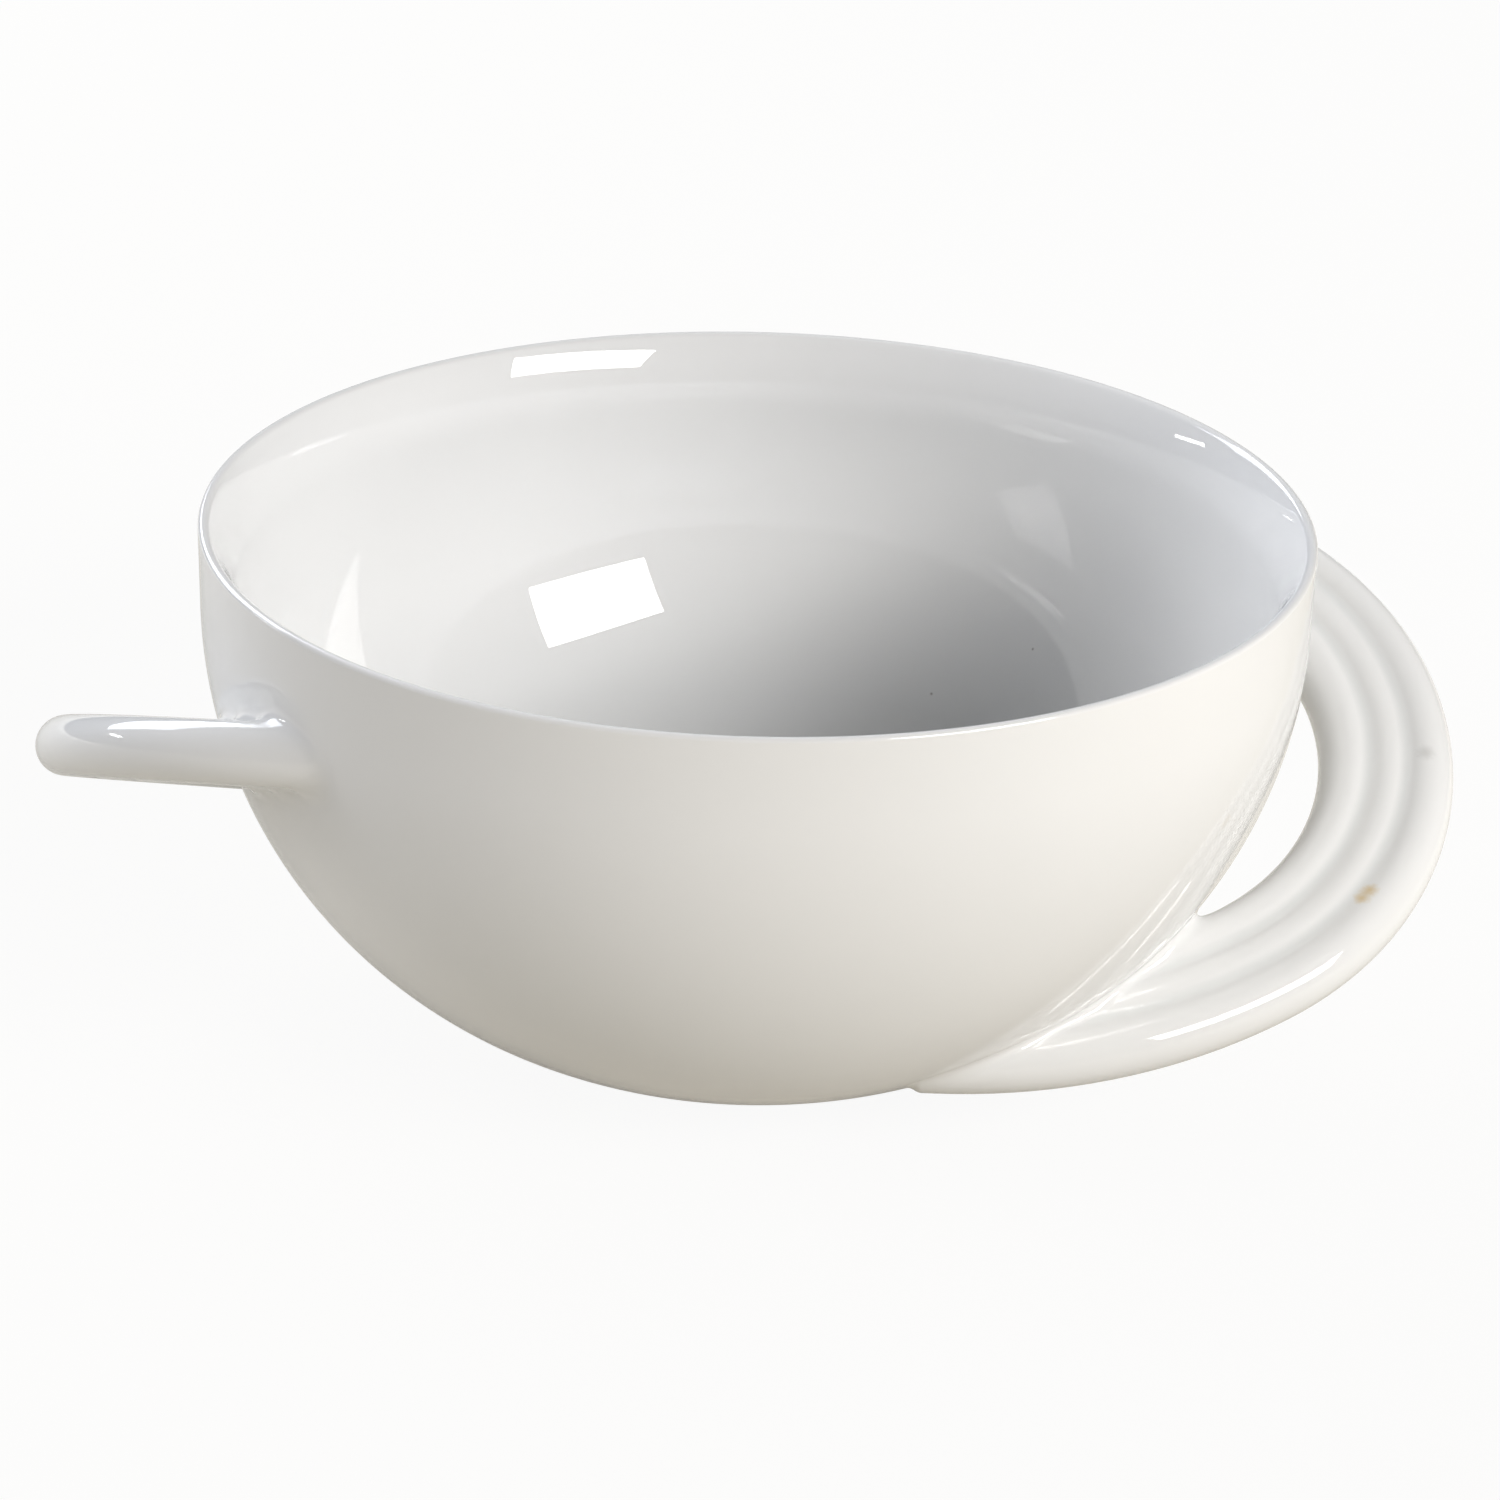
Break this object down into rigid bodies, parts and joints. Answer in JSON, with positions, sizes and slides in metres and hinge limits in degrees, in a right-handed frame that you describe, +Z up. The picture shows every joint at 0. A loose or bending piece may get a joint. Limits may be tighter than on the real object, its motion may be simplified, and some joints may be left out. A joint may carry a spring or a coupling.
{
  "type": "lug soup bowl",
  "caption": "Deep round white porcelain soup bowl on a small foot ring, with ribbed ring handles luted on a slope at opposite sides, half a turn apart.",
  "frame": {"origin": "middle of the foot ring, on the table", "axes": "+Z up along the bowl's axis, +X from the axis to the right handle, the left handle on -X"},
  "size_m": [0.1566, 0.12, 0.0615],
  "materials": {
    "bowl_glaze": "gloss glaze",
    "handle_glaze": "gloss glaze",
    "seam_glaze": "gloss glaze"
  },
  "bodies": {
    "root": {"bowl_body": "bowl_glaze", "right_handle": "handle_glaze", "left_handle": "handle_glaze", "right_lower_seam": "seam_glaze", "right_upper_seam": "seam_glaze", "left_lower_seam": "seam_glaze", "left_upper_seam": "seam_glaze"}
  },
  "joints": []
}
